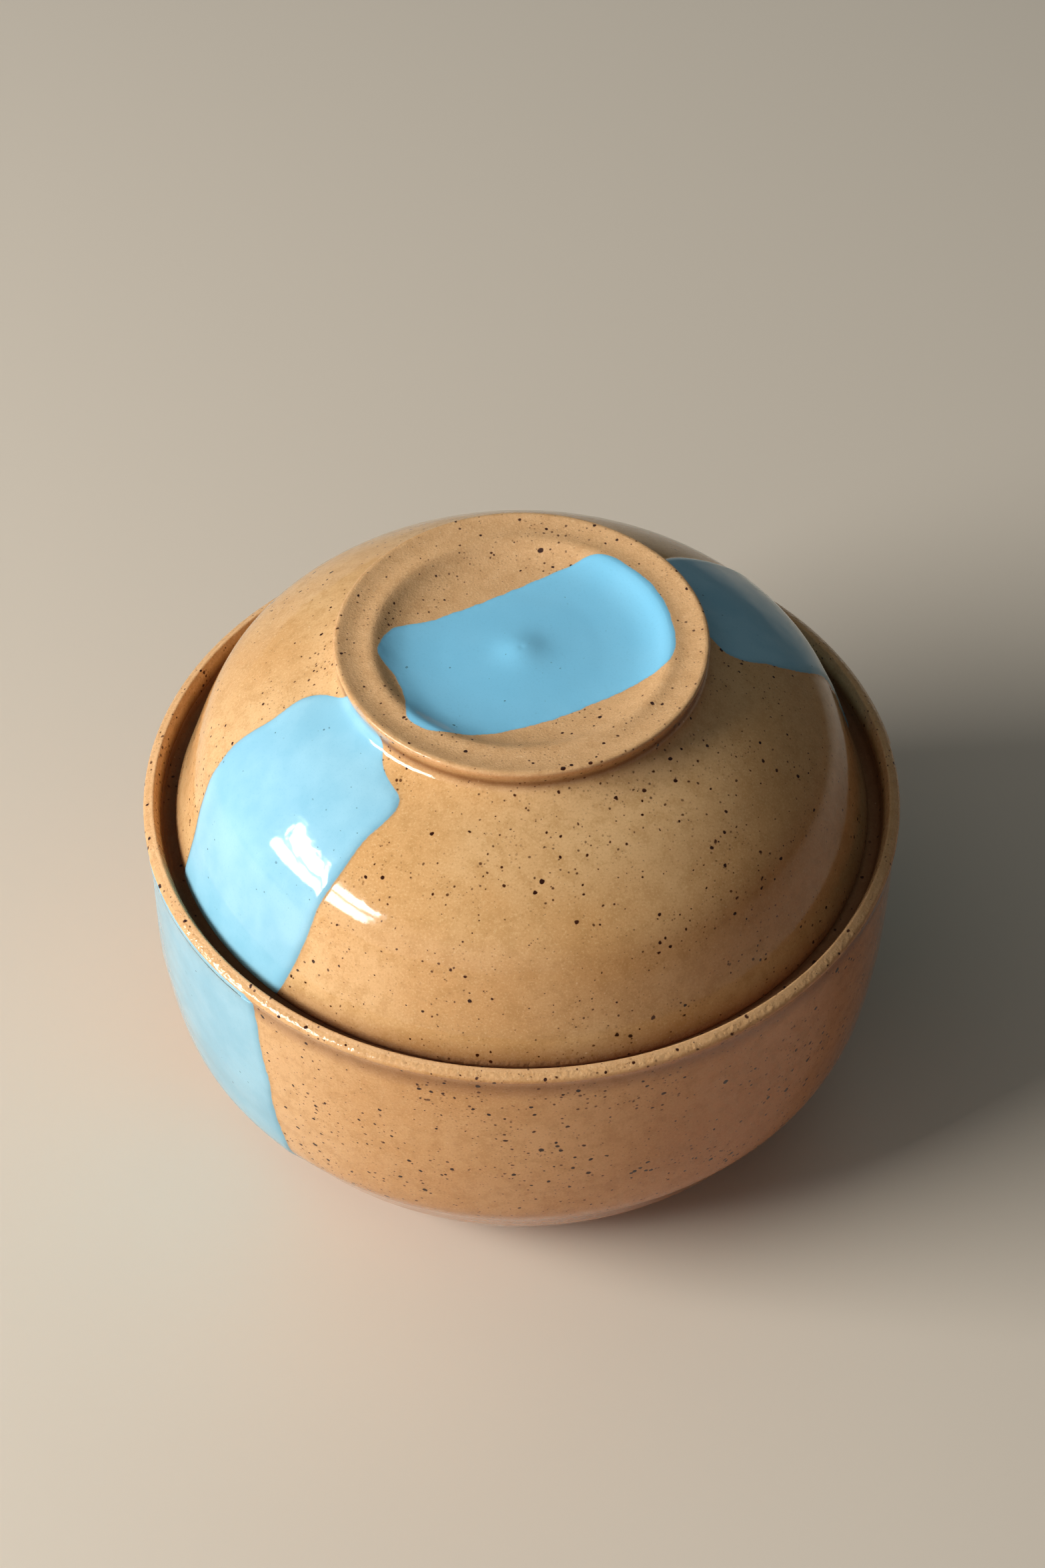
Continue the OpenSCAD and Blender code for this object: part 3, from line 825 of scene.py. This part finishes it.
def softbox(name, azimuth, elevation, away, width, height, power, lights="surfaces", tint=(1, 1, 1)):
    """A rectangular lamp that faces the bowl's middle from a direction in degrees, with its size and
    distance in metres and its light's tint. lights says whether it lights surfaces or only shows in
    their gloss."""
    lamp = bpy.data.lights.new(name, "AREA")
    lamp.shape, lamp.size, lamp.size_y = "RECTANGLE", width, height
    lamp.energy, lamp.color = power, tint
    a, e = math.radians(azimuth), math.radians(elevation)
    out = np.array([math.cos(a) * math.cos(e), math.sin(a) * math.cos(e), math.sin(e)])
    box = bpy.data.objects.new(name, lamp)
    box.location = np.array([0, 0, 90 * MM]) + out * away
    box.rotation_euler = (math.radians(90 - elevation), 0, math.radians(90 + azimuth))
    box.visible_glossy = lights == "gloss"
    box.visible_diffuse = lights == "surfaces"
    bpy.context.scene.collection.objects.link(box)


softbox("window_light", -160, 30, 1.3, 0.8, 0.34, 21.5)
softbox("window_lower_pane", -160, 23.9, 1.3, 0.9, 0.19, 12, "gloss")
softbox("window_upper_pane", -160, 32.3, 1.3, 0.86, 0.11, 10, "gloss")
softbox("front_fill", -80, 45, 1.6, 1.2, 1.0, 0.5)
softbox("back_fill", 65, 38, 1.6, 1.0, 0.8, 2.0, tint=(0.7, 0.92, 1.0))

TO_WINDOW = (-0.88, -0.42, 0.2)
LIT_RIGHT, LIT_LEFT = (0.01, 0.009, 0.008, 1), (0.43, 0.43, 0.44, 1)
WALLS_RIGHT, WALLS_LEFT = (0.08, 0.074, 0.068, 1), (0.95, 0.95, 0.97, 1)
CEILING = (0.12, 0.12, 0.12, 1)

world = bpy.data.worlds.new("studio_room")
world.use_nodes = True
bpy.context.scene.world = world
room_tree = world.node_tree
way = node(room_tree, "ShaderNodeTexCoord").outputs["Generated"]
towards = node(room_tree, "ShaderNodeVectorMath", {0: way, 1: TO_WINDOW},
               operation="DOT_PRODUCT").outputs["Value"]
left = ramp(room_tree, towards, -0.05, 1.0)
lit = mixed(room_tree, left, LIT_RIGHT, LIT_LEFT)
height = node(room_tree, "ShaderNodeSeparateXYZ", {0: way}).outputs[2]
walls = mixed(room_tree, left, WALLS_RIGHT, WALLS_LEFT)
backdrop = mixed(room_tree, ramp(room_tree, height, 0.35, 0.75), walls, CEILING)
shown = mixed(room_tree, seen_share(room_tree), lit, backdrop)
room_tree.links.new(shown, room_tree.nodes["Background"].inputs["Color"])

bpy.context.scene.view_settings.view_transform = "Standard"
